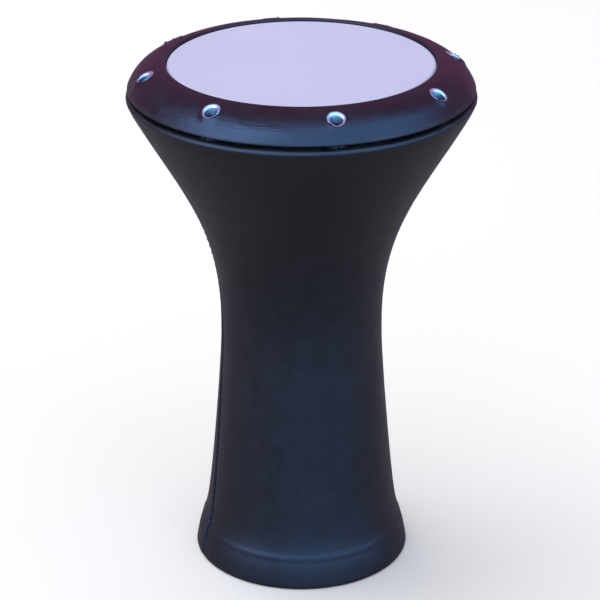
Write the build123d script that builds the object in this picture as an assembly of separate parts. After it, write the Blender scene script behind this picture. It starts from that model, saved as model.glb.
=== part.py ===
from build123d import *
import os
from math import radians, sin

# A goblet drum (darbuka) standing on its foot. The origin is the centre of the foot's
# underside, +Z runs up the drum's axis and -Y is the front. All sizes are millimetres.

# Outer radius and height of the leather-covered body, from the foot to the flange
BODY_CURVE = [
    (90.8, 0), (89.4, 8), (86.7, 20), (83.3, 30), (80.5, 42), (78.0, 60), (74.8, 90),
    (69.7, 150), (66.7, 212), (71.3, 261), (85.6, 306), (109.4, 351), (138.2, 400),
]
FLANGE_BEAD_RADIUS = 141.5
FLANGE_BEAD_BOTTOM = 404.5
FLANGE_TOP = 410
FLANGE_ROUND = 2.4

# Layers of the body, measured along the radius
LEATHER = 1.3
LEATHER_ALONG_RADIUS = 1.45
GLUE_LINE = 0.05
WALL_ALONG_RADIUS = 4.5

# Cast flange and the bearing wall that carries the drumhead
FLANGE_BOTTOM = 401
SHELF_HEIGHT = 408.6
BEARING_INNER_RADIUS = 102
BEARING_OUTER_RADIUS = 108
BEARING_TOP = 434.05
BEARING_ROUND = 2.5
SHELF_FILLET = 3
LEATHER_EDGE_ON_SHELF = 134

# Leather hem round the foot
FOOT_TAPER = 0.175
HEM_OUTSIDE_TOP = 3
HEM_INSIDE_TOP = 14
HEM_INSIDE_INSET = 6.3
HEM_ROUND = 1.2

# Tuning ring: its leather surface is a quarter ellipse outside the lip of the head opening
LIP_RADIUS = 109
DOME_CENTRE_HEIGHT = 407
DOME_SEMI_RADIUS = 32.5
DOME_SEMI_HEIGHT = 28.5
RING_BOTTOM = 415
RING_BORE_RADIUS = 110.4
HOOP_REBATE_RADIUS = 115
HOOP_SHOULDER_HEIGHT = 425.05
LIP_TURN_DOWN_BOTTOM = 428
LIP_ROUND = 0.9
RING_TURN_IN_RADIUS = 134

# Tuning screws: M5 x 25 socket head cap screws, set down in the ring
SCREW_COUNT = 8
FIRST_SCREW_ANGLE = 12
SCREW_CIRCLE_RADIUS = 127
RECESS_FLOOR = 420.2
RECESS_RADIUS = 5.75
CLEARANCE_HOLE_RADIUS = 2.8
WASHER_INNER_RADIUS = 2.7
WASHER_OUTER_RADIUS = 4.5
WASHER_THICKNESS = 1.0
SEAT_GAP = 0.02
HEAD_RADIUS = 4.25
HEAD_HEIGHT = 5.0
HEAD_CHAMFER = 0.4
HEX_ACROSS_FLATS = 4.0
HEX_DEPTH = 2.5
SHANK_RADIUS = 2.5
SHANK_LENGTH = 25
SHANK_CHAMFER = 0.5

# Eyelets that line the screw recesses and grip the leather
EYELET_INNER_RADIUS = 5.1
EYELET_OUTER_RADIUS = 5.7
EYELET_RIM_RADIUS = 7.3
EYELET_RIM_HEIGHT = 0.8
LEATHER_HOLE_RADIUS = 5.8

# Bosses under the flange, pads on top of it, and the threaded inserts in them
PAD_RADIUS = 8.5
PAD_TOP = 412.4
PAD_SLOT_WIDTH = 1.4
PAD_SLOT_DEPTH = 2.5
PAD_CLEARANCE = 0.5
BOSS_RADIUS = 8.0
BOSS_BOTTOM = 394
INSERT_RADIUS = 4.0
INSERT_HOLE_RADIUS = 4.05
INSERT_BOTTOM = 396
THREAD_BORE_RADIUS = 2.56

# Drumhead: a film bonded into a channel hoop
FILM = 0.3
FILM_TOP = 434.4
FILM_EDGE_ROUND = 2.85
FILM_SKIRT_RADIUS = 108.4
FILM_FLARE_TOP = 428
FILM_BONDED_RADIUS = 111.1
FILM_FLARE_BOTTOM = 423.3
FILM_BOTTOM = 419.5
HOOP_INNER_RADIUS = 108.6
HOOP_OUTER_RADIUS = 113.6
HOOP_WALL = 0.85
HOOP_FLOOR = 1.0
HOOP_BOTTOM = 417.5
HOOP_INNER_TOP = 424.0
HOOP_OUTER_TOP = 425.0
BOND_GAP = 0.08

# Stitches of the body's seam, which leans from the left at the top to the front at the foot
SEAM_ANGLES = [(0, -69.0), (210, -78.0), (400, -89.0)]
SEAM_START = 16
SEAM_END = 396
STITCH_PITCH = 6.0
STITCH_LENGTH = 3.8
STITCH_WIDTH = 1.1
STITCH_THICKNESS = 0.6
STITCH_LIFT = 0.1

LARGE = 200


def at(radius, height):
    """A point of a section that is turned round the drum's axis."""
    return Vector(radius, 0, height)


def turned(edges):
    """The solid that a closed section makes round the drum's axis."""
    return revolve(make_face(edges), Axis.Z)


def turned_polygon(points):
    """The solid that a closed section with straight sides makes."""
    corners = [at(radius, height) for radius, height in points]
    return turned(Polyline(*corners, close=True))


def tube(inner, outer, bottom, top):
    """A plain tube on the drum's axis."""
    return turned_polygon([(inner, bottom), (outer, bottom), (outer, top), (inner, top)])


def post(radius, bottom, top):
    """A plain cylinder on the drum's axis."""
    return Pos(0, 0, (bottom + top) / 2) * Cylinder(radius, top - bottom)


def screw_places():
    """The places of the screws round the drum's axis; each one's -Y points outwards."""
    for number in range(SCREW_COUNT):
        turn = FIRST_SCREW_ANGLE + number * 360 / SCREW_COUNT
        yield Rot(0, 0, turn) * Pos(0, -SCREW_CIRCLE_RADIUS, 0)


def body_line(inset):
    """The body's side from the foot to under the flange, moved in along the radius."""
    return Spline(*[at(radius - inset, height) for radius, height in BODY_CURVE])


def dome(inset):
    """The tuning ring's outer form, made smaller all over, down to the ellipse's centre."""
    quarter = EllipticalCenterArc((0, 0), DOME_SEMI_RADIUS - inset, DOME_SEMI_HEIGHT - inset, arc_size=90)
    arc = Plane.XZ * Pos(LIP_RADIUS, DOME_CENTRE_HEIGHT) * quarter
    inner_top = at(BEARING_INNER_RADIUS, DOME_CENTRE_HEIGHT + DOME_SEMI_HEIGHT - inset)
    inner_bottom = at(BEARING_INNER_RADIUS, DOME_CENTRE_HEIGHT)
    return turned([arc, Polyline(arc @ 1, inner_top, inner_bottom, arc @ 0)])


def circles(shape, radius, height):
    """The round edges of a turned shape that have this radius and height."""
    return [
        edge for edge in shape.edges().filter_by(GeomType.CIRCLE)
        if abs(edge.radius - radius) < 0.01 and abs(edge.arc_center.Z - height) < 0.01
    ]


def write(name, shape):
    """Write one sub-part, or a group of like pieces, as a STEP file."""
    solids = shape.solids()
    whole = solids[0] if len(solids) == 1 else Compound(children=list(solids))
    export_step(whole, f"parts/{name}.step")


# ------------------------------------------------------------------ body

def pad():
    """A round pad with a short slot sawn down its outer side, on the drum's axis."""
    slot = Box(PAD_SLOT_WIDTH, PAD_SLOT_DEPTH * 2, 2 * (PAD_TOP - SHELF_HEIGHT))
    return post(PAD_RADIUS, SHELF_HEIGHT - 1, PAD_TOP) - Pos(0, -PAD_RADIUS, PAD_TOP) * slot


def shell_casting():
    """The aluminium goblet with its flange, bearing wall and screw bosses."""
    skin = LEATHER_ALONG_RADIUS + GLUE_LINE
    outer = body_line(skin)
    inner = body_line(skin + WALL_ALONG_RADIUS)
    bead = FLANGE_BEAD_RADIUS - skin
    rim = Polyline(
        outer @ 1, at(bead, FLANGE_BEAD_BOTTOM), at(bead, SHELF_HEIGHT - 1),
        at(bead - 1, SHELF_HEIGHT), at(BEARING_OUTER_RADIUS, SHELF_HEIGHT),
        at(BEARING_OUTER_RADIUS, BEARING_TOP), at(BEARING_INNER_RADIUS, BEARING_TOP),
        at(BEARING_INNER_RADIUS, FLANGE_BOTTOM), at((inner @ 1).X, FLANGE_BOTTOM), inner @ 1)
    shell = turned([outer, rim, inner, Line(inner @ 0, outer @ 0)])
    shell = fillet(circles(shell, BEARING_OUTER_RADIUS, BEARING_TOP), BEARING_ROUND)
    shell = fillet(circles(shell, BEARING_OUTER_RADIUS, SHELF_HEIGHT), SHELF_FILLET)
    filled = turned([outer, Polyline(
        outer @ 1, at(bead, FLANGE_BEAD_BOTTOM), at(0, FLANGE_BEAD_BOTTOM), at(0, 0), outer @ 0)])
    for place in screw_places():
        shell += place * post(BOSS_RADIUS, BOSS_BOTTOM, FLANGE_BOTTOM + 1) & filled
        shell += place * pad()
        shell -= place * post(INSERT_HOLE_RADIUS, BOSS_BOTTOM - 1, PAD_TOP + 1)
    return shell - post(LARGE, -1, LEATHER + GLUE_LINE)


def body_leather_cover():
    """The leather on the body's side, turned over the flange's edge."""
    outer = body_line(0)
    inner = body_line(LEATHER_ALONG_RADIUS)
    bead = FLANGE_BEAD_RADIUS
    underside = SHELF_HEIGHT + GLUE_LINE
    inner_bead = bead - LEATHER_ALONG_RADIUS
    edge = Polyline(
        outer @ 1, at(bead, FLANGE_BEAD_BOTTOM), at(bead, FLANGE_TOP),
        at(LEATHER_EDGE_ON_SHELF, FLANGE_TOP), at(LEATHER_EDGE_ON_SHELF, underside),
        at(inner_bead - 1, underside), at(inner_bead, underside - 1),
        at(inner_bead, FLANGE_BEAD_BOTTOM), inner @ 1)
    cover = turned([outer, edge, inner, Line(inner @ 0, outer @ 0)])
    cover = fillet(circles(cover, bead, FLANGE_TOP), FLANGE_ROUND)
    for place in screw_places():
        cover -= place * post(PAD_RADIUS + PAD_CLEARANCE, SHELF_HEIGHT, FLANGE_TOP + 1)
    return cover - post(LARGE, -1, HEM_OUTSIDE_TOP)


def foot_hem():
    """The leather turned under the foot's edge and up inside it; the drum stands on this."""
    foot = BODY_CURVE[0][0]
    fold = LEATHER
    outside_top = HEM_OUTSIDE_TOP - GLUE_LINE
    outside = foot - FOOT_TAPER * outside_top
    inside = foot - HEM_INSIDE_INSET
    inside_top = inside - FOOT_TAPER * HEM_INSIDE_TOP
    hem = turned_polygon([
        (foot, 0), (outside, outside_top), (outside - LEATHER_ALONG_RADIUS, outside_top),
        (foot - LEATHER_ALONG_RADIUS, fold), (inside, fold), (inside_top, HEM_INSIDE_TOP),
        (inside_top - fold, HEM_INSIDE_TOP), (inside - fold, 0),
    ])
    return fillet(circles(hem, foot, 0) + circles(hem, inside - fold, 0), HEM_ROUND)


def seam_angle(height):
    """How far round from the front the seam stands at this height, in degrees."""
    low, middle, high = SEAM_ANGLES
    start, end = (low, middle) if height < middle[0] else (middle, high)
    share = (height - start[0]) / (end[0] - start[0])
    return start[1] + share * (end[1] - start[1])


def seam_stitches():
    """Stitches that stand just proud of the leather along the seam."""
    side = body_line(-STITCH_LIFT - STITCH_THICKNESS / 2)
    stitches = []
    for number in range(int(side.length / STITCH_PITCH)):
        share = number * STITCH_PITCH / side.length
        centre = side @ share
        if not SEAM_START < centre.Z < SEAM_END:
            continue
        slope = side % share
        outward = Vector(slope.Z, 0, -slope.X)
        plane = Plane(origin=centre, x_dir=slope, z_dir=outward)
        stitch = plane * Box(STITCH_LENGTH, STITCH_WIDTH, STITCH_THICKNESS)
        stitches.append(Rot(0, 0, seam_angle(centre.Z) - 90) * stitch)
    return Compound(children=stitches)


def thread_inserts():
    """Steel inserts in the flange that take the screws."""
    insert = post(INSERT_RADIUS, INSERT_BOTTOM, PAD_TOP) - post(THREAD_BORE_RADIUS, BOSS_BOTTOM, PAD_TOP + 1)
    return Compound(children=[place * insert for place in screw_places()])


# ------------------------------------------------------------------ tuning ring

def tuning_ring():
    """The cast ring that presses the hoop down, with recesses for the screws."""
    skin = LEATHER + GLUE_LINE
    ring = dome(skin) - post(LARGE, DOME_CENTRE_HEIGHT - 1, RING_BOTTOM + skin)
    ring -= post(RING_BORE_RADIUS, RING_BOTTOM, FILM_TOP + LEATHER)
    ring -= post(HOOP_REBATE_RADIUS, RING_BOTTOM, HOOP_SHOULDER_HEIGHT)
    for place in screw_places():
        ring -= place * post(RECESS_RADIUS, RECESS_FLOOR, FILM_TOP + LEATHER)
        ring -= place * post(CLEARANCE_HOLE_RADIUS, RING_BOTTOM, FILM_TOP)
    return ring


def ring_leather_cover():
    """The leather over the ring, turned down inside the lip and in under the outer edge."""
    above = DOME_CENTRE_HEIGHT + DOME_SEMI_HEIGHT + 1
    outside = dome(0) - post(LARGE, DOME_CENTRE_HEIGHT - 1, RING_BOTTOM)
    core = dome(LEATHER) - post(LARGE, DOME_CENTRE_HEIGHT - 1, RING_BOTTOM + LEATHER)
    core -= post(LIP_RADIUS + LEATHER, RING_BOTTOM, above)
    cover = outside - core - post(LIP_RADIUS, RING_BOTTOM - 1, above)
    cover -= post(LIP_RADIUS + LEATHER + GLUE_LINE, RING_BOTTOM - 1, LIP_TURN_DOWN_BOTTOM)
    cover -= post(RING_TURN_IN_RADIUS, RING_BOTTOM - 1, RING_BOTTOM + LEATHER + GLUE_LINE)
    cover = fillet(circles(cover, LIP_RADIUS, above - 1), LIP_ROUND)
    for place in screw_places():
        cover -= place * post(LEATHER_HOLE_RADIUS, RECESS_FLOOR, above)
    return cover


def bolt_eyelets():
    """Steel eyelets whose rims follow the leather's slope round each recess."""
    above = DOME_CENTRE_HEIGHT + DOME_SEMI_HEIGHT + 1
    rim_form = dome(-EYELET_RIM_HEIGHT)
    leather_form = dome(-GLUE_LINE)
    eyelets = []
    for place in screw_places():
        blank = place * (post(EYELET_RIM_RADIUS, RECESS_FLOOR + GLUE_LINE, above)
                         - post(EYELET_INNER_RADIUS, RECESS_FLOOR, above))
        outside_sleeve = place * (post(EYELET_RIM_RADIUS + 1, RECESS_FLOOR, above)
                                  - post(EYELET_OUTER_RADIUS, RECESS_FLOOR - 1, above))
        eyelets.append((blank & rim_form) - (outside_sleeve & leather_form))
    return Compound(children=[eyelet.solids()[0] for eyelet in eyelets])


# ------------------------------------------------------------------ drumhead

def film_line(depth):
    """The film's section from the drum's axis into the hoop, this deep under its surface."""
    skirt = FILM_SKIRT_RADIUS - depth
    bonded = FILM_BONDED_RADIUS - depth
    top = FILM_TOP - depth
    turn = FILM_SKIRT_RADIUS - FILM_EDGE_ROUND
    turn_height = FILM_TOP - FILM_EDGE_ROUND
    reach = (FILM_EDGE_ROUND - depth) * sin(radians(45))
    return [
        Line(at(0, top), at(turn, top)),
        ThreePointArc(at(turn, top), at(turn + reach, turn_height + reach), at(skirt, turn_height)),
        Polyline(at(skirt, turn_height), at(skirt, FILM_FLARE_TOP),
                 at(bonded, FILM_FLARE_BOTTOM), at(bonded, FILM_BOTTOM)),
    ]


def drumhead_film():
    """The playing surface, bent over the bearing wall and down into the hoop."""
    outer = film_line(0)
    inner = film_line(FILM)
    axis_edge = Line(at(0, FILM_TOP), at(0, FILM_TOP - FILM))
    bonded_edge = Line(outer[-1] @ 1, inner[-1] @ 1)
    return turned(outer + inner + [axis_edge, bonded_edge])


def drumhead_hoop():
    """The aluminium channel that holds the film's edge."""
    floor = HOOP_BOTTOM + HOOP_FLOOR
    channel_outer = HOOP_OUTER_RADIUS - HOOP_WALL
    channel_inner = HOOP_INNER_RADIUS + HOOP_WALL
    return turned_polygon([
        (HOOP_INNER_RADIUS, HOOP_BOTTOM), (HOOP_OUTER_RADIUS, HOOP_BOTTOM),
        (HOOP_OUTER_RADIUS, HOOP_OUTER_TOP), (channel_outer, HOOP_OUTER_TOP),
        (channel_outer, floor), (channel_inner, floor),
        (channel_inner, HOOP_INNER_TOP), (HOOP_INNER_RADIUS, HOOP_INNER_TOP),
    ])


def hoop_resin():
    """The resin that fills the channel round the film's edge."""
    inner = HOOP_INNER_RADIUS + HOOP_WALL + BOND_GAP
    outer = HOOP_OUTER_RADIUS - HOOP_WALL - BOND_GAP
    resin = tube(inner, outer, HOOP_BOTTOM + HOOP_FLOOR + BOND_GAP, FILM_FLARE_BOTTOM)
    slot_inner = FILM_BONDED_RADIUS - FILM - BOND_GAP
    slot_outer = FILM_BONDED_RADIUS + BOND_GAP
    return resin - tube(slot_inner, slot_outer, FILM_BOTTOM - BOND_GAP, FILM_FLARE_BOTTOM + 1)


# ------------------------------------------------------------------ screws

def washer():
    """The washer under a screw's head, on the drum's axis."""
    bottom = RECESS_FLOOR + SEAT_GAP
    return tube(WASHER_INNER_RADIUS, WASHER_OUTER_RADIUS, bottom, bottom + WASHER_THICKNESS)


def tuning_bolt():
    """A tuning screw with a hex socket in its head, on the drum's axis."""
    seat = RECESS_FLOOR + SEAT_GAP + WASHER_THICKNESS + SEAT_GAP
    top = seat + HEAD_HEIGHT
    head = post(HEAD_RADIUS, seat, top)
    head = chamfer(circles(head, HEAD_RADIUS, top), HEAD_CHAMFER)
    shank = post(SHANK_RADIUS, seat - SHANK_LENGTH, seat)
    shank = chamfer(circles(shank, SHANK_RADIUS, seat - SHANK_LENGTH), SHANK_CHAMFER)
    hexagon = RegularPolygon(HEX_ACROSS_FLATS / 2, 6, major_radius=False)
    socket = Pos(0, 0, top - HEX_DEPTH) * extrude(hexagon, HEX_DEPTH + 1)
    return head + shank - socket


os.makedirs("parts", exist_ok=True)

write("shell_casting", shell_casting())
write("body_leather_cover", body_leather_cover())
write("foot_hem", foot_hem())
write("seam_stitches", seam_stitches())
write("thread_inserts", thread_inserts())

write("tuning_ring", tuning_ring())
write("ring_leather_cover", ring_leather_cover())
write("bolt_eyelets", bolt_eyelets())

write("drumhead_film", drumhead_film())
write("drumhead_hoop", drumhead_hoop())
write("hoop_resin", hoop_resin())

for number, place in enumerate(screw_places(), start=1):
    write(f"washer_{number}", place * washer())
    write(f"tuning_bolt_{number}", place * tuning_bolt())
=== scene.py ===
from math import cos, pi, radians, sin, tan

import bmesh
import bpy
import numpy as np
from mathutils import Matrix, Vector, noise
from mathutils.bvhtree import BVHTree


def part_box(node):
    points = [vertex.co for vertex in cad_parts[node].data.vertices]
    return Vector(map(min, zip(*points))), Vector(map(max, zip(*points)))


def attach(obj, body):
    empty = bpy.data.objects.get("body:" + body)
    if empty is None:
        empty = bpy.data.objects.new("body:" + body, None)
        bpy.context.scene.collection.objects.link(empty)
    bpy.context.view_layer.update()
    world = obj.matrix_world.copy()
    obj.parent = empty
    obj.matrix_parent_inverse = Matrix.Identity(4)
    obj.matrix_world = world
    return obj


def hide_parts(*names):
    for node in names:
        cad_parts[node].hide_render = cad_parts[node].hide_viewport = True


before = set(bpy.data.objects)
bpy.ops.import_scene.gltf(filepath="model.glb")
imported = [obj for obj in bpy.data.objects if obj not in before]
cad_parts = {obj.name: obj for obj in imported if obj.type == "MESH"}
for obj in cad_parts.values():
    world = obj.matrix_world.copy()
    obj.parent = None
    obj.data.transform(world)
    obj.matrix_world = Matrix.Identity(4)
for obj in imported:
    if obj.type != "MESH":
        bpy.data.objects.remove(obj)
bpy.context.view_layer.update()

MM = 0.001
POLE = 0.01 * MM  # the middle of a turned cap starts this far from its axis
SCREW_SPACE = 20 * MM  # what belongs to one screw lies within this of its axis

# Places and sizes read from the frame
FOOT_INSIDE_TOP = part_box("foot_hem")[1].z
FOOT_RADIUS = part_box("foot_hem")[1].x
BODY_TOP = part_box("body_leather_cover")[1].z
BEAD_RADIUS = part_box("body_leather_cover")[1].x
RING_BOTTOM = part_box("ring_leather_cover")[0].z
RING_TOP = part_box("ring_leather_cover")[1].z
RECESS_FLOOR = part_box("bolt_eyelets")[0].z
SCREWS = [f"tuning_bolt_{number}" for number in range(1, 9)]
SCREW_CENTRES = [sum(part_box(name), Vector()) / 2 for name in SCREWS]
SCREW_CIRCLE = SCREW_CENTRES[0].xy.length
HEAD_RADIUS = (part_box(SCREWS[0])[1].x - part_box(SCREWS[0])[0].x) / 2


# ------------------------------------------------------------------ measuring the frame

def vertices_of(node):
    """The vertices of a CAD node as rows of x, y, z."""
    return np.array([v.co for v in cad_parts[node].data.vertices])


def reach(node):
    """How near to the first screw's axis a CAD node comes, and how far from it it goes."""
    gaps = np.linalg.norm(vertices_of(node)[:, :2] - np.array(SCREW_CENTRES[0].xy), axis=1)
    return gaps.min(), gaps[gaps < SCREW_SPACE].max()


def inner_radius(node, above=0):
    """How near to the drum's axis the vertices of a CAD node come above a height."""
    points = vertices_of(node)
    return np.hypot(*points[points[:, 2] > above, :2].T).min()


def tree_of(node):
    """A search tree of a CAD node's faces."""
    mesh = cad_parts[node].data
    return BVHTree.FromPolygons([v.co for v in mesh.vertices], [p.vertices for p in mesh.polygons])


def met(tree, start, towards):
    """Radius and height where a ray in the plane of +X and +Z first meets the tree."""
    aim = Vector((towards[0] - start[0], 0, towards[1] - start[1])).normalized()
    hit = tree.ray_cast(Vector((start[0], 0, start[1])), aim)[0]
    return hit.x, hit.z


def smooth_through(points, count):
    """A smooth line of evenly spaced points through a few given ones."""
    points = np.array(points)
    along = np.r_[0, np.cumsum(np.hypot(*np.diff(points, axis=0).T))]
    slope = np.gradient(points, along, axis=0)
    at = np.linspace(0, along[-1], count)
    span = np.clip(np.searchsorted(along, at, side="right") - 1, 0, len(along) - 2)
    width = (along[span + 1] - along[span])[:, None]
    t = (at - along[span])[:, None] / width
    start, end = points[span], points[span + 1]
    start_slope, end_slope = slope[span] * width, slope[span + 1] * width
    return ((2 * t**3 - 3 * t**2 + 1) * start + (t**3 - 2 * t**2 + t) * start_slope
            + (3 * t**2 - 2 * t**3) * end + (t**3 - t**2) * end_slope)


def arc(centre, radius, start, end, count):
    """Points on an arc in the plane of radius and height, with its angles in degrees."""
    angles = np.radians(np.linspace(start, end, count))
    return np.c_[centre[0] + radius * np.cos(angles), centre[1] + radius * np.sin(angles)]


# ------------------------------------------------------------------ building meshes

def new_piece(name, verts, faces, material):
    """A smooth-shaded mesh object with one material."""
    mesh = bpy.data.meshes.new(name)
    mesh.from_pydata(np.asarray(verts).tolist(), [], np.asarray(faces).tolist())
    mesh.validate()
    mesh.shade_smooth()
    mesh.materials.append(material)
    piece = bpy.data.objects.new(name, mesh)
    bpy.context.scene.collection.objects.link(piece)
    return piece


def grid_faces(rows, columns, rows_close=False):
    """Quads of a grid whose columns close round; its rows close too if asked."""
    row = np.arange(rows if rows_close else rows - 1)[:, None]
    column = np.arange(columns)[None, :]
    next_row, next_column = (row + 1) % rows, (column + 1) % columns
    corners = [row * columns + column, row * columns + next_column,
               next_row * columns + next_column, next_row * columns + column]
    return np.stack([c.ravel() for c in corners], axis=1)


def joined(grids, rows, columns, rows_close=False):
    """The vertices and faces of several grids of one size, put together."""
    faces = grid_faces(rows, columns, rows_close)
    return np.vstack(grids), np.vstack([faces + number * rows * columns for number in range(len(grids))])


def drop_loose(piece):
    """Deletes vertices that no face uses."""
    mesh = bmesh.new()
    mesh.from_mesh(piece.data)
    bmesh.ops.delete(mesh, geom=[v for v in mesh.verts if not v.link_faces], context="VERTS")
    mesh.to_mesh(piece.data)
    mesh.free()


def seal(piece, gap=0.02 * MM):
    """Merges vertices that meet, fills the ends and turns every face outwards."""
    mesh = bmesh.new()
    mesh.from_mesh(piece.data)
    bmesh.ops.remove_doubles(mesh, verts=mesh.verts, dist=gap)
    bmesh.ops.holes_fill(mesh, edges=mesh.edges, sides=0)
    bmesh.ops.recalc_face_normals(mesh, faces=mesh.faces)
    mesh.to_mesh(piece.data)
    mesh.free()
    piece.data.shade_smooth()


def line_normals(line, closed=False):
    """Unit normals of a line in the plane of radius and height, on its right-hand side."""
    if closed:
        step = np.roll(line, -1, axis=0) - np.roll(line, 1, axis=0)
    else:
        step = np.gradient(line, axis=0)
    step /= np.linalg.norm(step, axis=1)[:, None]
    return np.c_[step[:, 1], -step[:, 0]]


def turned(line, turns, push=None, closed=False):
    """Vertices of a line turned round the Z axis; turns holds angles from the front, -Y.

    push is how far each vertex moves along the line's normal."""
    normal = line_normals(line, closed)
    if push is None:
        push = np.zeros((len(line), turns.shape[-1]))
    radius = line[:, :1] + push * normal[:, :1]
    height = line[:, 1:] + push * normal[:, 1:]
    turns = np.broadcast_to(turns, radius.shape)
    return np.stack([radius * np.sin(turns), -radius * np.cos(turns), height], axis=-1).reshape(-1, 3)


def perlin(points, scale, seed, stretch=(1, 1, 1)):
    """Perlin noise of about -0.5 to 0.5 at each point; scale is cycles a metre.

    Each seed reads another part of the same noise."""
    shift = np.array([17.3, 5.1, 9.7]) * seed
    spots = points * np.array(stretch) * scale + shift
    return np.array([noise.noise(Vector(spot)) for spot in spots])


def ridged(points, scale, seed, stretch=(1, 1, 1), sharpness=14):
    """Thin creases: 1 along the lines where the noise is zero, falling quickly to 0."""
    return np.clip(1 - np.abs(perlin(points, scale, seed, stretch)) * sharpness, 0, 1)


def bump_at(distance, centre, width):
    """A smooth rounded step up and down at a distance."""
    return np.exp(-((distance - centre) / width) ** 2)


# ------------------------------------------------------------------ materials

def shader(name, **values):
    """A new material, its node tree and its main shader with constants set on the sockets."""
    material = bpy.data.materials.new(name)
    material.use_nodes = True
    main = material.node_tree.nodes["Principled BSDF"]
    for socket, value in values.items():
        main.inputs[socket.replace("_", " ")].default_value = value
    return material, material.node_tree, main


def add(tree, kind, **settings):
    """A node with its properties or input values set; links are made for sockets."""
    node = tree.nodes.new(kind)
    for key, value in settings.items():
        if hasattr(node, key):
            setattr(node, key, value)
            continue
        socket = node.inputs[key.replace("_", " ")]
        if isinstance(value, bpy.types.NodeSocket):
            tree.links.new(value, socket)
        else:
            socket.default_value = value
    return node


def place_of(tree, stretch=(1, 1, 1)):
    """The point on the object in metres, stretched along the axes."""
    point = add(tree, "ShaderNodeTexCoord").outputs["Object"]
    return add(tree, "ShaderNodeMapping", Vector=point, Scale=stretch).outputs[0]


def noise_of(tree, scale, detail=4.0, roughness=0.55, stretch=(1, 1, 1)):
    """Noise at a scale in cycles a metre."""
    return add(tree, "ShaderNodeTexNoise", Vector=place_of(tree, stretch), Scale=scale,
               Detail=detail, Roughness=roughness).outputs["Fac"]


def vertex_value(tree, name):
    """The number that values_on gave to the vertices."""
    return add(tree, "ShaderNodeAttribute", attribute_name=name).outputs["Fac"]


def mapped(tree, value, low, high, to_low, to_high):
    """A value taken from one range to another and held inside it."""
    node = add(tree, "ShaderNodeMapRange", Value=value)
    ends = {"From Min": low, "From Max": high, "To Min": to_low, "To Max": to_high}
    for socket, number in ends.items():
        node.inputs[socket].default_value = number
    return node.outputs[0]


def combined(tree, operation, first, second):
    """Two values put through one operation."""
    node = tree.nodes.new("ShaderNodeMath")
    node.operation = operation
    for socket, value in zip(node.inputs, (first, second)):
        if isinstance(value, bpy.types.NodeSocket):
            tree.links.new(value, socket)
        else:
            socket.default_value = value
    return node.outputs[0]


MIX_COLOUR_INPUTS = (6, 7)  # a Mix node's A and B sockets for colours
MIX_COLOUR_OUTPUT = 2


def mixed_colour(tree, share, first, second):
    """A colour between two, as a value of 0 to 1 says."""
    node = tree.nodes.new("ShaderNodeMix")
    node.data_type = "RGBA"
    tree.links.new(share, node.inputs["Factor"])
    sockets = [node.inputs[number] for number in MIX_COLOUR_INPUTS]
    for socket, value in zip(sockets, (first, second)):
        if isinstance(value, bpy.types.NodeSocket):
            tree.links.new(value, socket)
        else:
            socket.default_value = (*value, 1)
    return node.outputs[MIX_COLOUR_OUTPUT]


def bumped(tree, height, distance, strength=1.0, under=None):
    """A bump of that many metres; under is another bump that it adds to."""
    node = add(tree, "ShaderNodeBump", Height=height, Distance=distance, Strength=strength)
    if under is not None:
        tree.links.new(under, node.inputs["Normal"])
    return node.outputs[0]


def finish_shader(tree, main, colour=None, roughness=None, normal=None):
    """Links what varies over the surface to the main shader."""
    for socket, value in (("Base Color", colour), ("Roughness", roughness), ("Normal", normal)):
        if value is not None:
            tree.links.new(value, main.inputs[socket])


RUBBED_LEATHER = (0.06, 0.055, 0.06)
# Painted shade: the near-black that the seam's hollow is coloured with
SEAM_SHADE = (0.002, 0.003, 0.006)
CLEAN_CAST = (0.62, 0.62, 0.63)
STAINED_CAST = (0.42, 0.42, 0.43)
# Painted shade: the black of the shelf and pads seen through the gap under the ring
SHELF_SHADE = (0.030, 0.030, 0.031)
# Painted shade: the grey that an eyelet's bore darkens to
BORE_SHADE = (0.36, 0.38, 0.38)
FILM_WHITE = (0.52, 0.545, 0.74)
FILM_CLOUD = (0.495, 0.52, 0.715)
THREAD_BLUE = (0.009, 0.018, 0.026)
THREAD_SHADE = (0.003, 0.007, 0.011)
RESIN_BROWN = (0.075, 0.045, 0.022)
RESIN_SHADE = (0.030, 0.018, 0.010)
FLOOR_PAINT = (0.95, 0.95, 0.95)
FLOOR_CLOUD = (0.93, 0.93, 0.93)
FLOOR_MIRRORED = (0.36, 0.33, 0.38)

TURNING_PITCH = 0.5 * MM
SHELF_RADIUS = 114 * MM
# Heights between which the shelf carries that painted shade
SHELF_SHADE_LOW = BODY_TOP - 2.2 * MM
SHELF_SHADE_HIGH = BODY_TOP + 2.8 * MM


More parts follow.
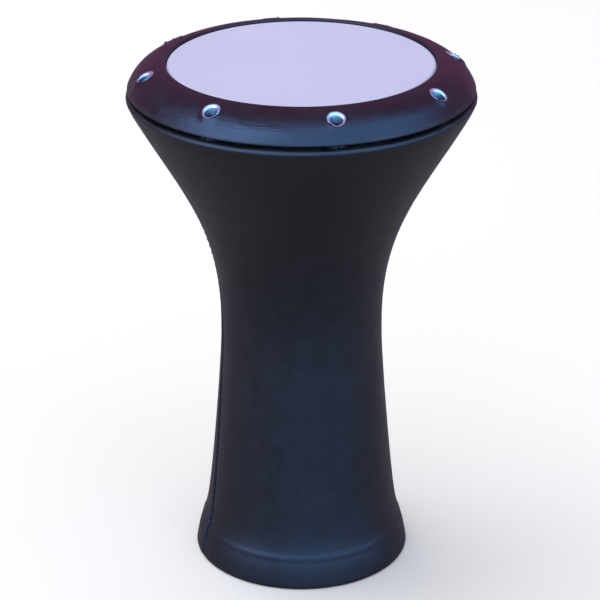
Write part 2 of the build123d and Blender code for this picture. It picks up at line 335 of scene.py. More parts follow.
def leather_material(name, dark, light, rough_low, rough_high):
    """Smooth black leather: pebbled grain, pores, mottled finish, rubbed edges and painted shade along the
    seam.
    """
    material, tree, main = shader(name, Specular_IOR_Level=0.3)
    cells = add(tree, "ShaderNodeTexVoronoi", Vector=place_of(tree), Scale=850.0, feature="SMOOTH_F1",
                Smoothness=0.35).outputs["Distance"]
    fine = noise_of(tree, 2200, detail=3)
    soft = noise_of(tree, 70, detail=5)
    broad = noise_of(tree, 11, detail=3)
    rubbed = vertex_value(tree, "wear")
    recess_shade = vertex_value(tree, "recess_shade")
    clouds = combined(tree, "ADD", broad, combined(tree, "MULTIPLY", soft, 0.5))
    colour = mixed_colour(tree, mapped(tree, clouds, 0.55, 0.95, 0, 1), dark, light)
    colour = mixed_colour(tree, combined(tree, "MULTIPLY", rubbed, 0.35), colour, RUBBED_LEATHER)
    # Painted shade: near-black in the hollow along the seam
    colour = mixed_colour(tree, recess_shade, colour, SEAM_SHADE)
    rough = mapped(tree, soft, 0.35, 0.65, rough_low, rough_high)
    rough = combined(tree, "ADD", rough, combined(tree, "MULTIPLY", rubbed, 0.08))
    rough = combined(tree, "ADD", rough, combined(tree, "MULTIPLY", recess_shade, 0.35))
    grain = bumped(tree, cells, 0.10 * MM, 0.45)
    grain = bumped(tree, fine, 0.04 * MM, 0.4, under=grain)
    grain = bumped(tree, soft, 0.6 * MM, 0.12, under=grain)
    finish_shader(tree, main, colour, rough, grain)
    return material


def cast_material():
    """Sand-cast aluminium: pitted and turned smooth where the head bears; its shelf is black and dull,
    painted shade for the gap under the ring.
    """
    material, tree, main = shader("cast_aluminium", Metallic=1.0)
    pits = noise_of(tree, 420, detail=6, roughness=0.7)
    lumps = noise_of(tree, 55, detail=4)
    stain = mapped(tree, noise_of(tree, 14, detail=5), 0.4, 0.7, 0, 1)
    height = add(tree, "ShaderNodeSeparateXYZ", Vector=place_of(tree)).outputs["Z"]
    level = place_of(tree, (1, 1, 0))
    radius = add(tree, "ShaderNodeVectorMath", operation="LENGTH", Vector=level).outputs["Value"]
    machined = mapped(tree, height, BODY_TOP, BODY_TOP + 1 * MM, 0, 1)
    turning = combined(tree, "SINE", combined(tree, "MULTIPLY", height, 2 * pi / TURNING_PITCH), 0)
    lines = combined(tree, "MULTIPLY", turning, machined)
    rough = combined(tree, "SUBTRACT", mapped(tree, pits, 0.3, 0.7, 0.42, 0.62),
                     combined(tree, "MULTIPLY", machined, 0.18))
    # Painted shade: black and not metallic on the shelf and pads under the ring
    outside = mapped(tree, radius, SHELF_RADIUS, SHELF_RADIUS + 0.4 * MM, 0, 1)
    above = mapped(tree, height, SHELF_SHADE_LOW, SHELF_SHADE_LOW + 0.2 * MM, 0, 1)
    below = mapped(tree, height, SHELF_SHADE_HIGH, SHELF_SHADE_HIGH + 0.2 * MM, 1, 0)
    painted = combined(tree, "MULTIPLY", combined(tree, "MULTIPLY", outside, above), below)
    tree.links.new(combined(tree, "SUBTRACT", 1, painted), main.inputs["Metallic"])
    colour = mixed_colour(tree, stain, CLEAN_CAST, STAINED_CAST)
    colour = mixed_colour(tree, painted, colour, SHELF_SHADE)
    normal = bumped(tree, pits, 0.4 * MM, 0.6)
    normal = bumped(tree, lumps, 1.2 * MM, 0.4, under=normal)
    normal = bumped(tree, lines, 0.02 * MM, 0.5, under=normal)
    finish_shader(tree, main, colour, rough, normal)
    return material


def steel_material(name, bright, dull, rough_low, rough_high):
    """Plated steel with fine scratches and cloudy patches, and painted shade that darkens it down a bore.
    """
    material, tree, main = shader(name, Metallic=1.0)
    cloud = noise_of(tree, 260, detail=5)
    scratch = noise_of(tree, 900, detail=3, stretch=(1, 1, 7))
    colour = mixed_colour(tree, mapped(tree, cloud, 0.35, 0.7, 0, 1), bright, dull)
    # Painted shade: darker the deeper the vertex lies in an eyelet's dish and bore
    colour = mixed_colour(tree, vertex_value(tree, "recess_shade"), colour, BORE_SHADE)
    rough = mapped(tree, cloud, 0.3, 0.7, rough_low, rough_high)
    finish_shader(tree, main, colour, rough, bumped(tree, scratch, 0.03 * MM, 0.35))
    return material


def film_material():
    """Coated polyester film: cool white, finely stippled, faintly clouded."""
    material, tree, main = shader("head_film", Specular_IOR_Level=0.35)
    stipple = noise_of(tree, 1900, detail=2)
    cloud = noise_of(tree, 9, detail=4)
    colour = mixed_colour(tree, mapped(tree, cloud, 0.35, 0.65, 0, 1), FILM_CLOUD, FILM_WHITE)
    rough = mapped(tree, stipple, 0.3, 0.7, 0.42, 0.55)
    finish_shader(tree, main, colour, rough, bumped(tree, stipple, 0.02 * MM, 0.35))
    return material


def thread_material():
    """Waxed dark blue thread with a twist along it, and painted shade in the twist's hollows."""
    material, tree, main = shader("seam_thread", Specular_IOR_Level=0.12)
    twist = add(tree, "ShaderNodeTexWave", Vector=place_of(tree), Scale=520.0, Distortion=2.0,
                bands_direction="DIAGONAL").outputs["Fac"]
    fuzz = noise_of(tree, 3000, detail=2)
    # Painted shade: darker where the twist's bump is low
    colour = mixed_colour(tree, twist, THREAD_SHADE, THREAD_BLUE)
    rough = mapped(tree, fuzz, 0.3, 0.7, 0.6, 0.8)
    finish_shader(tree, main, colour, rough, bumped(tree, twist, 0.1 * MM, 0.6))
    return material


def resin_material():
    """Dark cast resin with small bubbles and a skin that dips here and there."""
    material, tree, main = shader("hoop_resin", Specular_IOR_Level=0.5)
    bubbles = add(tree, "ShaderNodeTexVoronoi", Vector=place_of(tree), Scale=700.0).outputs["Distance"]
    cloud = noise_of(tree, 60, detail=4)
    colour = mixed_colour(tree, cloud, RESIN_SHADE, RESIN_BROWN)
    rough = mapped(tree, cloud, 0.3, 0.7, 0.18, 0.35)
    finish_shader(tree, main, colour, rough, bumped(tree, bubbles, 0.1 * MM, 0.3))
    return material


def floor_material():
    """Plain white paint; what it mirrors into the drum is a dimmer floor, as in a dark room."""
    material, tree, main = shader("studio_floor", Specular_IOR_Level=0.0)
    cloud = noise_of(tree, 1.5, detail=3)
    seen = add(tree, "ShaderNodeLightPath").outputs["Is Camera Ray"]
    paint = mixed_colour(tree, cloud, FLOOR_CLOUD, FLOOR_PAINT)
    colour = mixed_colour(tree, seen, FLOOR_MIRRORED, paint)
    finish_shader(tree, main, colour, mapped(tree, cloud, 0.3, 0.7, 0.75, 0.85))
    return material


BODY_LEATHER = leather_material("body_leather", (0.0075, 0.0080, 0.0100), (0.0125, 0.0122, 0.0146),
                                0.42, 0.49)
RING_LEATHER = leather_material("ring_leather", (0.0075, 0.0066, 0.0105), (0.0130, 0.0110, 0.0165),
                                0.33, 0.43)
CAST = cast_material()
BRIGHT_STEEL = steel_material("bright_steel", (0.63, 0.70, 0.64), (0.52, 0.58, 0.54), 0.33, 0.43)
BLACK_STEEL = steel_material("black_steel", (0.025, 0.026, 0.029), (0.015, 0.015, 0.017), 0.45, 0.58)
ZINC_STEEL = steel_material("zinc_steel", (0.62, 0.63, 0.64), (0.45, 0.46, 0.47), 0.28, 0.42)
FILM = film_material()
THREAD = thread_material()
RESIN = resin_material()


def values_on(piece, name, values):
    """A number of 0 to 1 for each vertex, which the leather's and the steel's materials read."""
    layer = piece.data.attributes.new(name, "FLOAT", "POINT")
    layer.data.foreach_set("value", np.clip(values, 0, 1).astype(np.float32).ravel())


def thicken(piece, thickness):
    """Gives a sheet its thickness on the side away from its normals."""
    solid = piece.modifiers.new("thickness", "SOLIDIFY")
    solid.thickness = thickness
    solid.offset = -1


# ------------------------------------------------------------------ body leather

LEATHER = 1.2 * MM
FULLNESS = 0.35  # how far the body leather stands proud of the CAD cover, in millimetres
SIDE_HEIGHTS = (4, 8, 14, 20, 26, 31, 37, 44, 54, 68, 90, 120, 160, 200, 235, 265, 290, 312, 335, 358,
                380, 399)  # where the side is measured, in millimetres
INSIDE_ROWS = 8  # rows of vertices up the inside of the foot
UNDER_ROWS = 7  # rows round the foot's inner edge
SIDE_START = INSIDE_ROWS + UNDER_ROWS
KINK_HEIGHT = 27.2  # where the foot's straight skirt ends, in millimetres
SKIRT_LEAN = 0.21  # how far the skirt leans in as it rises, for each unit of height
SEAM_HALF = 6.5  # degrees on each side of the seam that have a fine mesh
LAP_EDGE = -2.6  # from the seam's stitches to the edge of its lap, in millimetres
STITCH_HALF = 2.1 * MM  # half its length
STITCH_RADIUS = 0.50 * MM
STITCH_LEAN = 0.22  # how far a stitch leans across the seam, for each unit along it
STITCH_ARCH = 0.50 * MM
STITCH_DEPTH = 1.05 * MM  # how far its ends are let into the leather


def islands(node):
    """The corner points of each separate solid in a CAD node, from the lowest solid up."""
    mesh = bmesh.new()
    mesh.from_mesh(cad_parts[node].data)
    bmesh.ops.remove_doubles(mesh, verts=mesh.verts, dist=1e-6)
    left = set(mesh.verts)
    found = []
    while left:
        group, edge = set(), [left.pop()]
        while edge:
            vertex = edge.pop()
            group.add(vertex)
            for link in vertex.link_edges:
                other = link.other_vert(vertex)
                if other in left:
                    left.remove(other)
                    edge.append(other)
        found.append(np.array([v.co for v in group]))
    mesh.free()
    return sorted(found, key=lambda points: points[:, 2].mean())


STITCHES = islands("seam_stitches")
STITCH_CENTRES = np.array([points.mean(axis=0) for points in STITCHES])
SEAM_HEIGHTS = STITCH_CENTRES[:, 2]
SEAM_TURNS = np.arctan2(STITCH_CENTRES[:, 0], -STITCH_CENTRES[:, 1])
TURN_IN = inner_radius("body_leather_cover", BODY_TOP - MM)


def seam_turn(height):
    """The seam's angle from the front at a height; it runs on straight past its ends."""
    slope_low = (SEAM_TURNS[3] - SEAM_TURNS[0]) / (SEAM_HEIGHTS[3] - SEAM_HEIGHTS[0])
    slope_high = (SEAM_TURNS[-1] - SEAM_TURNS[-4]) / (SEAM_HEIGHTS[-1] - SEAM_HEIGHTS[-4])
    inside = np.interp(height, SEAM_HEIGHTS, SEAM_TURNS)
    below = np.minimum(height - SEAM_HEIGHTS[0], 0) * slope_low
    above = np.maximum(height - SEAM_HEIGHTS[-1], 0) * slope_high
    return inside + below + above


def body_line():
    """The body leather from its raw edge inside the foot, round and up to its edge on the shelf."""
    cover, hem = tree_of("body_leather_cover"), tree_of("foot_hem")
    foot_round = 2.4 * MM
    side = [met(cover, (FOOT_RADIUS + 0.1, z * MM), (0, z * MM)) for z in SIDE_HEIGHTS]
    inside_low = met(hem, (0, 3 * MM), (FOOT_RADIUS, 3 * MM))
    inside_high = met(hem, (0, FOOT_INSIDE_TOP - 0.3 * MM), (FOOT_RADIUS, FOOT_INSIDE_TOP - 0.3 * MM))
    roll = 2.7 * MM
    bead = BEAD_RADIUS - roll - 0.1 * MM
    return np.vstack([
        smooth_through([inside_high, inside_low], INSIDE_ROWS),
        arc((inside_low[0] + foot_round, foot_round), foot_round, 180, 270, UNDER_ROWS),
        arc((FOOT_RADIUS - foot_round, foot_round), foot_round, 270, 350, 7),
        smooth_through(side, 330),
        smooth_through([(bead + 0.2 * MM, BODY_TOP - 8.6 * MM), (bead + 1.2 * MM, BODY_TOP - 6.3 * MM)], 5),
        arc((bead, BODY_TOP - roll), roll, -40, 90, 16),
        smooth_through([(bead - 0.5 * MM, BODY_TOP), (TURN_IN + 0.2 * MM, BODY_TOP)], 7),
    ])


def skirt_lift(radius, height):
    """How far the foot's straight skirt stands proud of the CAD cover, in millimetres."""
    skirt = FOOT_RADIUS - SKIRT_LEAN * height - radius
    below_kink = 0.5 - 0.5 * np.tanh((height / MM - KINK_HEIGHT) / 1.2)
    return np.maximum(skirt / MM, 0) * below_kink


def seam_relief(across, number):
    """How far the seam lifts the leather, in millimetres.

    across is the distance from the stitches in millimetres, and number counts them upwards."""
    share = number - np.floor(number)
    holes = bump_at(share, 0.33, 0.09) + bump_at(share, 0.67, 0.09)
    past_edge = across - LAP_EDGE
    lap = -0.275 * (1 + np.tanh(past_edge / 0.7)) * np.exp(-np.maximum(past_edge, 0) / 5)
    cut = 0.7 * bump_at(across, -2.4, 0.8)
    pull = 0.70 * bump_at(across, 0, 1.4) * (0.5 + holes)
    swell = 0.22 * bump_at(across, 2.6, 1.5) + 0.18 * bump_at(across, -4.6, 1.6)
    return lap - cut - pull + swell * (0.6 + 0.4 * np.cos(2 * pi * number))


def body_leather():
    """The leather of the body: seam with its pulled-in stitches, soft waves and stretch marks."""
    line = body_line()
    radius, height = line[:, :1], line[:, 1:]
    fine = np.radians(np.linspace(-SEAM_HALF, SEAM_HALF, 66))
    coarse = np.radians(np.linspace(SEAM_HALF, 360 - SEAM_HALF, 250)[1:-1])
    offsets = np.r_[fine, coarse]
    turns = seam_turn(height) + offsets
    points = turned(line, turns)
    shape = turns.shape
    across = np.where(offsets > pi, offsets - 2 * pi, offsets) * radius / MM
    number = np.interp(height, SEAM_HEIGHTS, np.arange(len(SEAM_HEIGHTS)))
    on_side = (height > 1 * MM) & (height < BODY_TOP - 9 * MM)
    on_side[:SIDE_START] = False
    # Relief in millimetres
    waves = perlin(points, 9, 1, (1, 1, 0.7)) * 0.30 + perlin(points, 26, 2, (1, 1, 0.45)) * 0.08
    creases = ridged(points, 16, 3, (1, 1, 2.2)) * np.clip(perlin(points, 10, 4) * 4, 0, 1) * 0.10
    lift = (waves - creases).reshape(shape) + FULLNESS + skirt_lift(radius, height)
    foot_fade = np.clip((height - 1 * MM) / (5 * MM), 0, 1)
    edge_fade = np.clip((BODY_TOP - 2 * MM - height) / (14 * MM), 0, 1)
    push = (lift * foot_fade * edge_fade + seam_relief(across, number) * on_side) * MM
    push[:SIDE_START] = 0
    piece = new_piece("leather_body", turned(line, turns, push), grid_faces(*shape), BODY_LEATHER)
    thicken(piece, LEATHER)
    rub = bump_at(height, 1 * MM, 3 * MM) + bump_at(height, BODY_TOP - 1 * MM, 1.6 * MM)
    rub = rub * (0.55 + perlin(points, 45, 5).reshape(shape)) + 0.35 * bump_at(across, -3.4, 0.8)
    values_on(piece, "wear", rub)
    # Painted shade along the seam's hollow, read by the leather's colour
    values_on(piece, "recess_shade", bump_at(across, -0.5, 2.4) * on_side)
    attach(piece, "shell")
    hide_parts("body_leather_cover", "foot_hem")


def stitch(points, rows, columns):
    """One stitch of twisted thread in place of a CAD solid, arched and let into the leather."""
    centre = points.mean(axis=0)
    _, _, axes = np.linalg.svd(points - centre)
    along, _, out = axes
    out = out * np.sign(out @ np.array([centre[0], centre[1], 0]))
    along = along * np.sign(along[2])
    across = np.cross(out, along)
    lean = along + STITCH_LEAN * across
    lean /= np.linalg.norm(lean)
    share = np.linspace(-1, 1, rows)[:, None]
    rise = FULLNESS * MM + STITCH_ARCH * (1 - share**2) ** 0.6 - STITCH_DEPTH
    spine = centre + share * STITCH_HALF * lean + rise * out
    thick = STITCH_RADIUS * np.sqrt(np.clip(1 - (np.abs(share) * 0.96) ** 6, 0, 1))
    angle = np.linspace(0, 2 * pi, columns, endpoint=False)
    strand = 1 + 0.10 * np.cos(3 * angle + 7 * share)
    ring = np.cos(angle)[:, None] * across + np.sin(angle)[:, None] * out
    return (spine[:, None, :] + (thick * strand)[..., None] * ring).reshape(-1, 3)


def seam_thread():
    """The seam's thread: one stitch for each one in the frame."""
    rows, columns = 11, 10
    stitches = [stitch(points, rows, columns) for points in STITCHES]
    piece = new_piece("seam_thread", *joined(stitches, rows, columns), THREAD)
    seal(piece, 0.005 * MM)
    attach(piece, "shell")
    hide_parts("seam_stitches")


# ------------------------------------------------------------------ ring leather and eyelets

CROWN_TURNS = (2.4, 9, 16, 24, 33, 43, 54, 65, 76, 84, 90)  # degrees round the ring's section
BARREL, RIM = reach("bolt_eyelets")
SLEEVE = BARREL + 0.6 * MM
LIP_RADIUS = inner_radius("ring_leather_cover")
EYELET_RISE = 0.28 * MM  # of an eyelet's rim above the leather
OUTER_LIFT = 1.1 * MM  # how much higher the rim's outer side stands, where the leather puffs up
OUTER_SQUEEZE = 0.08  # how much narrower the rim is on that side, as a share of its radius
HOLE_BAND = 0.8 * MM  # the leather this near to a rim is tucked under it
EDGE_HANG = 1.2 * MM  # how far the leather's lower edge hangs below the ring


def dome_line():
    """The ring leather's outer side from its lower edge up to the crown of the lip."""
    tree = tree_of("ring_leather_cover")
    pivot = (LIP_RADIUS + 1.2 * MM, RING_BOTTOM - 0.5 * MM)
    points = []
    for degree in CROWN_TURNS:
        start = (pivot[0] + 0.1 * cos(radians(degree)), pivot[1] + 0.1 * sin(radians(degree)))
        points.append(met(tree, start, pivot))
    return smooth_through(points, 72)


DOME = dome_line()


def dome_height(radius):
    """The height of the ring leather's surface at a distance from the drum's axis."""
    return np.interp(radius, DOME[::-1, 0], DOME[::-1, 1])


def outer_share(radius):
    """How far to an eyelet's outer side a point is, 1 at the rim, from its distance to the drum's axis."""
    return np.clip((radius - SCREW_CIRCLE) / RIM, 0, 1)


def from_screws(points):
    """Each point's level distance from the nearest screw's axis, in metres."""
    gaps = [np.hypot(points[:, 0] - c.x, points[:, 1] - c.y) for c in SCREW_CENTRES]
    return np.min(gaps, axis=0)


def ring_line():
    """The ring leather from under the ring, round its edge, over the dome and down inside the lip.

    With it comes the range of rows that waves and creases may move."""
    lip_round, edge_round = 1.0 * MM, 0.7 * MM
    edge = (DOME[0][0] + 0.35 * MM - edge_round, RING_BOTTOM - EDGE_HANG + edge_round)
    under = smooth_through([(TURN_IN + 0.2 * MM, RING_BOTTOM), (edge[0] - 4 * MM, RING_BOTTOM),
                            (edge[0] - 0.6 * MM, RING_BOTTOM - EDGE_HANG)], 9)
    turn_up = arc(edge, edge_round, 270, 372, 6)
    turn_down = arc((LIP_RADIUS + lip_round, RING_TOP - lip_round), lip_round, 95, 180, 7)
    lip = smooth_through([(LIP_RADIUS, RING_TOP - 1.6 * MM), (LIP_RADIUS, RING_TOP - 7.2 * MM)], 6)
    dome = DOME[1:-1]
    edge_row = len(under) + len(turn_up) - 1
    return np.vstack([under, turn_up, dome, turn_down, lip]), slice(edge_row, edge_row + len(dome))


def tuck_round_eyelets(verts):
    """Moves the vertices near each eyelet's rim on to it; says which ones lie inside a rim."""
    inside = np.zeros(len(verts), dtype=bool)
    upper = verts[:, 2] > RING_BOTTOM + 6 * MM
    for centre in SCREW_CENTRES:
        middle = np.array(centre.xy)
        away = verts[:, :2] - middle
        distance = np.linalg.norm(away, axis=1)
        ways = away / distance[:, None]
        share = outer_share(np.linalg.norm(middle + ways * RIM, axis=1))
        hole = RIM * (1 - OUTER_SQUEEZE * share) + (0.04 - 0.18 * share) * MM
        near = (np.abs(distance - hole) < HOLE_BAND) & upper
        inside |= (distance < hole - HOLE_BAND) & upper
        rim = middle + ways * hole[:, None]
        tucked = dome_height(np.linalg.norm(rim, axis=1)) + EYELET_RISE + OUTER_LIFT * share
        tucked += (0.20 * share - 0.12) * MM
        verts[near, :2] = rim[near]
        verts[near, 2] = tucked[near]
    return inside


def ring_leather():
    """The leather over the tuning ring: pulled down round the eyelets, creased and turned under."""
    line, free_rows = ring_line()
    turns = np.linspace(0, 2 * pi, 640, endpoint=False)[None, :]
    points = turned(line, turns)
    shape = (len(line), turns.shape[1])
    on_dome = np.zeros(shape)
    on_dome[free_rows] = 1
    fade = np.minimum(np.clip((line[:, 1:] - RING_BOTTOM) / (4 * MM), 0, 1),
                      np.clip((line[:, :1] - LIP_RADIUS) / (5 * MM), 0, 1)) * on_dome
    turn = np.arctan2(points[:, 0], -points[:, 1])
    girth = np.repeat(np.arange(shape[0]) * 0.9 * MM, shape[1])
    wrap = np.c_[np.cos(turn) * SCREW_CIRCLE, np.sin(turn) * SCREW_CIRCLE, girth]
    # Relief in millimetres
    waves = perlin(wrap, 14, 11, (1, 1, 1.6)) * 0.40 + perlin(wrap, 42, 12, (1, 1, 1.5)) * 0.16
    patch = np.clip(perlin(wrap, 17, 13) * 3 + 0.45, 0, 1)
    creases = ridged(wrap, 38, 14, (1, 1, 2.6)) * 0.16 + ridged(wrap, 70, 15, (1, 1, 1.8)) * 0.09
    gap = from_screws(points) / MM
    puffed = 0.43 + 0.90 * outer_share(np.hypot(points[:, 0], points[:, 1]))
    pulled = puffed * np.exp(-np.maximum(gap - RIM / MM, 0) / 2) - 0.10 * bump_at(gap, 11, 2.5)
    push = (waves - creases * patch - 0.30 + pulled).reshape(shape) * fade * MM
    verts = turned(line, turns, push)
    inside = tuck_round_eyelets(verts)
    faces = grid_faces(*shape)
    faces = faces[~inside[faces].any(axis=1)]
    piece = new_piece("leather_ring", verts, faces, RING_LEATHER)
    rub = bump_at(line[:, 1:], RING_BOTTOM + 1 * MM, 2 * MM) * (0.5 + perlin(points, 45, 16).reshape(shape))
    values_on(piece, "wear", rub)
    drop_loose(piece)
    thicken(piece, LEATHER)
    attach(piece, "ring")
    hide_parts("ring_leather_cover")


def eyelets():
    """Steel eyelets: dished rims that lie on the sloping leather, barrels down to the recess floor."""
    columns = 80
    angle = np.linspace(0, 2 * pi, columns, endpoint=False)
    bottom = RECESS_FLOOR + 0.02 * MM
    dish = smooth_through([(RIM - 0.2 * MM, EYELET_RISE - 0.03 * MM),
                           (RIM - 0.9 * MM, EYELET_RISE - 0.25 * MM), (BARREL + 0.6 * MM, -0.35 * MM),
                           (BARREL + 0.15 * MM, -0.8 * MM), (BARREL, -1.6 * MM)], 16)
    flange = [(RIM, -1.1 * MM), (RIM, EYELET_RISE - 0.06 * MM), (RIM - 0.06 * MM, EYELET_RISE), *dish]
    barrel = [(BARREL, 0.38), (BARREL, 0.65), (BARREL + 0.02 * MM, 0.97), (BARREL + 0.15 * MM, 1),
              (SLEEVE - 0.12 * MM, 1), (SLEEVE, 0.96), (SLEEVE, 0.15)]
    grids = []
    for centre in SCREW_CENTRES:
        rows = []
        for radius, rise in flange:
            x, y = centre.x + radius * np.cos(angle), centre.y + radius * np.sin(angle)
            share = outer_share(np.hypot(x, y))
            x = x - (x - centre.x) * OUTER_SQUEEZE * share
            y = y - (y - centre.y) * OUTER_SQUEEZE * share
            rows.append(np.c_[x, y, dome_height(np.hypot(x, y)) + rise + OUTER_LIFT * share])
        top = dome_height(np.hypot(centre.x + BARREL * np.cos(angle), centre.y + BARREL * np.sin(angle)))
        for radius, share in barrel:
            x, y = centre.x + radius * np.cos(angle), centre.y + radius * np.sin(angle)
            rows.append(np.c_[x, y, top + (bottom - top) * share])
        grids.append(np.vstack(rows))
    piece = new_piece("eyelets", *joined(grids, len(rows), columns, rows_close=True), BRIGHT_STEEL)
    seal(piece, 0.004 * MM)
    points = np.array([v.co for v in piece.data.vertices])
    depth = dome_height(np.hypot(points[:, 0], points[:, 1])) - points[:, 2]
    in_dish = from_screws(points) < RIM - 0.6 * MM
    # Painted shade down each eyelet's dish and barrel, by depth
    values_on(piece, "recess_shade", (depth - 0.1 * MM) / (1.6 * MM) * in_dish)
    piece.data.set_sharp_from_angle(angle=radians(35))
    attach(piece, "ring")
    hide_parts("bolt_eyelets")


# ------------------------------------------------------------------ screws, washers, inserts

# In millimetres, as are the rows of radius and height below
THREAD_PITCH = 0.8
THREAD_DEPTH = 0.46
SHANK = 2.5
HEAD_HEIGHT = 5.0
HEX = 4.0
SOCKET_TURN = 0.7  # radians that each screw's socket is turned on from the one before


def thread_wave(height, angle):
    """How deep a right-hand thread is cut, from 0 at its crest to 1 at its root."""
    phase = height / THREAD_PITCH - angle / (2 * pi)
    ramp = np.abs(phase - np.floor(phase) - 0.5) * 2
    return np.clip((ramp - 0.12) / 0.72, 0, 1)


def hexagon(angle, flats):
    """The radius of a hexagon at each angle."""
    return flats / 2 / np.cos((angle + pi / 6) % (pi / 3) - pi / 6)


def turned_about(centre, rows, angle):
    """Vertices in metres of rows of radius and height, turned about a screw's axis."""
    return np.vstack([np.c_[centre.x + radius * MM * np.cos(angle), centre.y + radius * MM * np.sin(angle),
                            np.full(len(angle), height * MM)] for radius, height in rows])


def tuning_screw(number, centre):
    """A blackened socket screw: hex socket, knurled head, thread and chamfered end."""
    low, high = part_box(SCREWS[number])
    columns = 48
    angle = np.linspace(0, 2 * pi, columns, endpoint=False) + number * SOCKET_TURN
    plain = np.ones(columns)
    socket = hexagon(angle - angle[0], HEX)
    tip, top = low.z / MM, high.z / MM
    seat = top - HEAD_HEIGHT
    head = HEAD_RADIUS / MM
    knurled = (head - 0.02) * (1 - 0.035 * (np.arange(columns) % 2))
    rows = [
        (plain * 0.01, top - 2.9),
        (socket * 0.98, top - 2.4),
        (socket, top - 2.3),
        (socket, top - 0.35),
        (np.maximum(socket * 1.04, HEX * 0.55), top - 0.02),
        (plain * HEX * 0.62, top),
        (plain * (head - 0.62), top),
        (plain * (head - 0.38), top - 0.06),
        (plain * (head - 0.18), top - 0.22),
        (knurled, top - 0.5),
        (knurled, top - 2.2),
        (knurled, top - 3.8),
        (plain * (head - 0.08), top - 4.4),
        (plain * (head - 0.14), seat + 0.12),
        (plain * (head - 0.3), seat),
        (plain * (SHANK + 0.2), seat),
        (plain * (SHANK - 0.02), seat - 0.2),
        (plain * (SHANK - 0.02), seat - 1.2),
    ]
    start, end = seat - 1.5, tip + 0.6
    for height in np.arange(start, end, -0.1):
        fade = min(1, (start - height) / 0.8)
        rows.append((SHANK - 0.01 - THREAD_DEPTH * fade * thread_wave(height, angle), height))
    rows += [(plain * (SHANK - 0.5), tip + 0.2), (plain * (SHANK - 0.7), tip), (plain * 0.01, tip)]
    verts = turned_about(centre, rows, angle)
    piece = new_piece(f"screw_{number + 1}", verts, grid_faces(len(rows), columns), BLACK_STEEL)
    seal(piece)
    piece.data.set_sharp_from_angle(angle=radians(38))
    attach(piece, f"bolt_body_{number + 1}")
    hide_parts(SCREWS[number])


def washer(number, centre):
    """A pressed washer: rolled upper edge, sharper lower edge."""
    low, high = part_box(f"washer_{number + 1}")
    bottom, top = low.z / MM, high.z / MM
    outer, inner = (high.x - low.x) / 2 / MM, SHANK + 0.2
    columns = 64
    angle = np.linspace(0, 2 * pi, columns, endpoint=False)
    rows = [(inner, bottom + 0.1), (inner, top - 0.15), (inner + 0.15, top), (outer - 0.5, top),
            (outer - 0.2, top - 0.08), (outer - 0.03, top - 0.3), (outer, top - 0.6),
            (outer, bottom + 0.08), (outer - 0.08, bottom), (inner + 0.1, bottom)]
    verts = turned_about(centre, rows, angle)
    faces = grid_faces(len(rows), columns, rows_close=True)
    piece = new_piece(f"washer_visual_{number + 1}", verts, faces, ZINC_STEEL)
    seal(piece)
    piece.data.set_sharp_from_angle(angle=radians(40))
    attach(piece, f"washer_body_{number + 1}")
    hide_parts(f"washer_{number + 1}")


def inserts():
    """Knurled steel inserts with an M5 thread, in one piece for all the screws."""
    low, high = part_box("thread_inserts")
    bottom, top = low.z / MM, high.z / MM
    columns = 48
    angle = np.linspace(0, 2 * pi, columns, endpoint=False)
    plain = np.ones(columns)
    knurl = 1 - 0.03 * (np.arange(columns) % 2)
    outer = reach("thread_inserts")[1] / MM
    bore = SHANK + 0.07
    mouth = (bore + 0.45) * plain
    rows = [(mouth, top), ((outer - 0.2) * plain, top), (outer * plain, top - 0.2)]
    rows += [(outer * plain, top - 4.0), (outer * knurl, top - 4.5), (outer * knurl, bottom + 1.5)]
    rows += [((outer - 0.2) * plain, bottom), (mouth, bottom)]
    for height in np.arange(bottom + 0.4, top - 0.4, 0.2):
        rows.append((bore + 0.4 * thread_wave(height, angle), height))
    grids = [turned_about(centre, rows, angle) for centre in SCREW_CENTRES]
    piece = new_piece("inserts", *joined(grids, len(rows), columns, rows_close=True), ZINC_STEEL)
    seal(piece)
    piece.data.set_sharp_from_angle(angle=radians(40))
    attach(piece, "shell")
    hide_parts("thread_inserts")


# ------------------------------------------------------------------ drumhead

def playing_film():
    """The film: flat over the drum, rolled over the bearing edge and flared into the hoop."""
    low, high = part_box("drumhead_film")
    top, bottom, bonded = high.z, low.z, high.x
    skirt = met(tree_of("drumhead_film"), (bonded + 5 * MM, top - 5 * MM), (0, top - 5 * MM))[0]
    round_over, thick, columns = 2.85 * MM, 0.3 * MM, 200
    flare_top, flare_bottom = bottom + 8.5 * MM, bottom + 3.8 * MM
    turn = skirt - round_over
    outer = np.vstack([
        smooth_through([(POLE, top), (turn - 1 * MM, top)], 26),
        arc((turn, top - round_over), round_over, 90, 0, 12),
        smooth_through([(skirt, top - round_over - 0.5 * MM), (skirt, flare_top + 1 * MM)], 4),
        smooth_through([(skirt + 0.3 * MM, flare_top - 0.5 * MM),
                        (bonded - 0.3 * MM, flare_bottom + 0.5 * MM)], 6),
        [(bonded, flare_bottom - 0.6 * MM), (bonded, bottom)],
    ])
    inner = (outer + line_normals(outer) * thick)[::-1]
    inner[:, 0] = np.maximum(inner[:, 0], POLE)
    section = np.vstack([outer, inner])
    turns = np.linspace(0, 2 * pi, columns, endpoint=False)[None, :]
    piece = new_piece("playing_film", turned(section, turns), grid_faces(len(section), columns), FILM)
    seal(piece)
    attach(piece, "drumhead")
    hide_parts("drumhead_film")


# ------------------------------------------------------------------ scene

def carried_over(node, material):
    """A CAD node that stays in view takes its final material."""
    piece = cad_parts[node]
    piece.data.materials.clear()
    piece.data.materials.append(material)


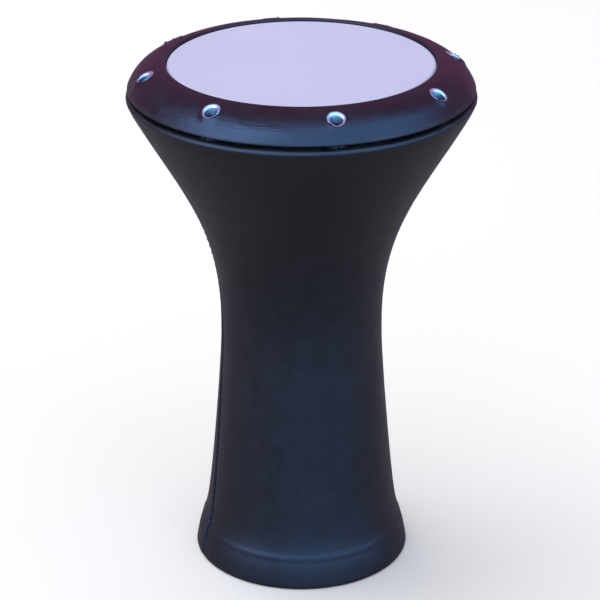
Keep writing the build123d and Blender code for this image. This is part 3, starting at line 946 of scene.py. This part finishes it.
FLOOR_RADIUS = 14
PANEL_DISTANCE = 4  # of each light from the drumhead
ROOM_SEEN = (0.9, 0.9, 0.9)
ROOM_LIGHT = (0.58, 0.57, 0.59)
ROOM_MIRRORED = (0.44, 0.14, 0.34)
CAMERA_PLACE = (0, -1.9133, 1.0768)
CAMERA_TILT = 23.98  # degrees down from level
LENS = 150.6
FRAME_SHIFT = -0.0025


def floor():
    """A plain round floor that reaches past every view."""
    disc = bmesh.new()
    bmesh.ops.create_circle(disc, cap_ends=True, segments=96, radius=FLOOR_RADIUS)
    mesh = bpy.data.meshes.new("studio_floor")
    disc.to_mesh(mesh)
    disc.free()
    mesh.materials.append(floor_material())
    ground = bpy.data.objects.new("studio_floor", mesh)
    bpy.context.scene.collection.objects.link(ground)


def direction(turn, rise):
    """The unit vector at an angle round from the front, -Y, and an angle above the floor."""
    turn, rise = radians(turn), radians(rise)
    return Vector((cos(rise) * sin(turn), -cos(rise) * cos(turn), sin(rise)))


def panel(name, turn, rise, span, colour, strength, mirrored):
    """A soft rectangular light that spans these angles, seen from the drumhead.

    A mirrored one makes highlights only, and any other gives even light with none."""
    light = bpy.data.lights.new(name, "AREA")
    light.shape = "RECTANGLE"
    light.size, light.size_y = [2 * PANEL_DISTANCE * tan(radians(angle / 2)) for angle in span]
    light.color = colour
    light.energy = strength * pi * light.size * light.size_y
    lamp = bpy.data.objects.new(name, light)
    lamp.location = Vector((0, 0, RING_TOP)) + PANEL_DISTANCE * direction(turn, rise)
    lamp.rotation_mode = "QUATERNION"
    lamp.rotation_quaternion = (-direction(turn, rise)).to_track_quat("-Z", "Y")
    lamp.visible_camera = False
    lamp.visible_glossy = mirrored
    lamp.visible_diffuse = not mirrored
    bpy.context.scene.collection.objects.link(lamp)


def room():
    """The room round the drum: pale where it is seen, dim and violet where the drum mirrors it."""
    world = bpy.data.worlds.new("room")
    world.use_nodes = True
    tree = world.node_tree
    path = add(tree, "ShaderNodeLightPath")
    colour = mixed_colour(tree, path.outputs["Is Glossy Ray"], ROOM_LIGHT, ROOM_MIRRORED)
    colour = mixed_colour(tree, path.outputs["Is Camera Ray"], colour, ROOM_SEEN)
    tree.links.new(colour, tree.nodes["Background"].inputs["Color"])
    bpy.context.scene.world = world


def lighting():
    """Cool windows in front that the leather mirrors, and even pale light from above."""
    panel("window_left", -58, 34, (52, 60), (0.25, 0.50, 1.0), 9.0, True)
    panel("window_front", 30, 37, (112, 82), (0.13, 0.46, 1.0), 5.3, True)
    panel("overhead", -125, 58, (60, 60), (1.0, 0.98, 0.97), 1.7, False)
    panel("front_fill", 10, 50, (70, 50), (0.85, 0.92, 1.0), 0.8, False)
    room()


def camera():
    """The camera: in front of the drum, looking down on it, with no roll."""
    data = bpy.data.cameras.new("camera")
    data.sensor_width = 36
    data.lens = LENS
    data.shift_x = FRAME_SHIFT
    view = bpy.data.objects.new("camera", data)
    view.location = CAMERA_PLACE
    view.rotation_euler = (radians(90 - CAMERA_TILT), 0, 0)
    bpy.context.scene.collection.objects.link(view)
    bpy.context.scene.camera = view


bpy.context.scene.view_settings.view_transform = "Standard"

camera()
lighting()
floor()

body_leather()
seam_thread()
ring_leather()
eyelets()
for number, centre in enumerate(SCREW_CENTRES):
    tuning_screw(number, centre)
    washer(number, centre)
inserts()
playing_film()

carried_over("shell_casting", CAST)
carried_over("tuning_ring", CAST)
carried_over("drumhead_hoop", CAST)
carried_over("hoop_resin", RESIN)
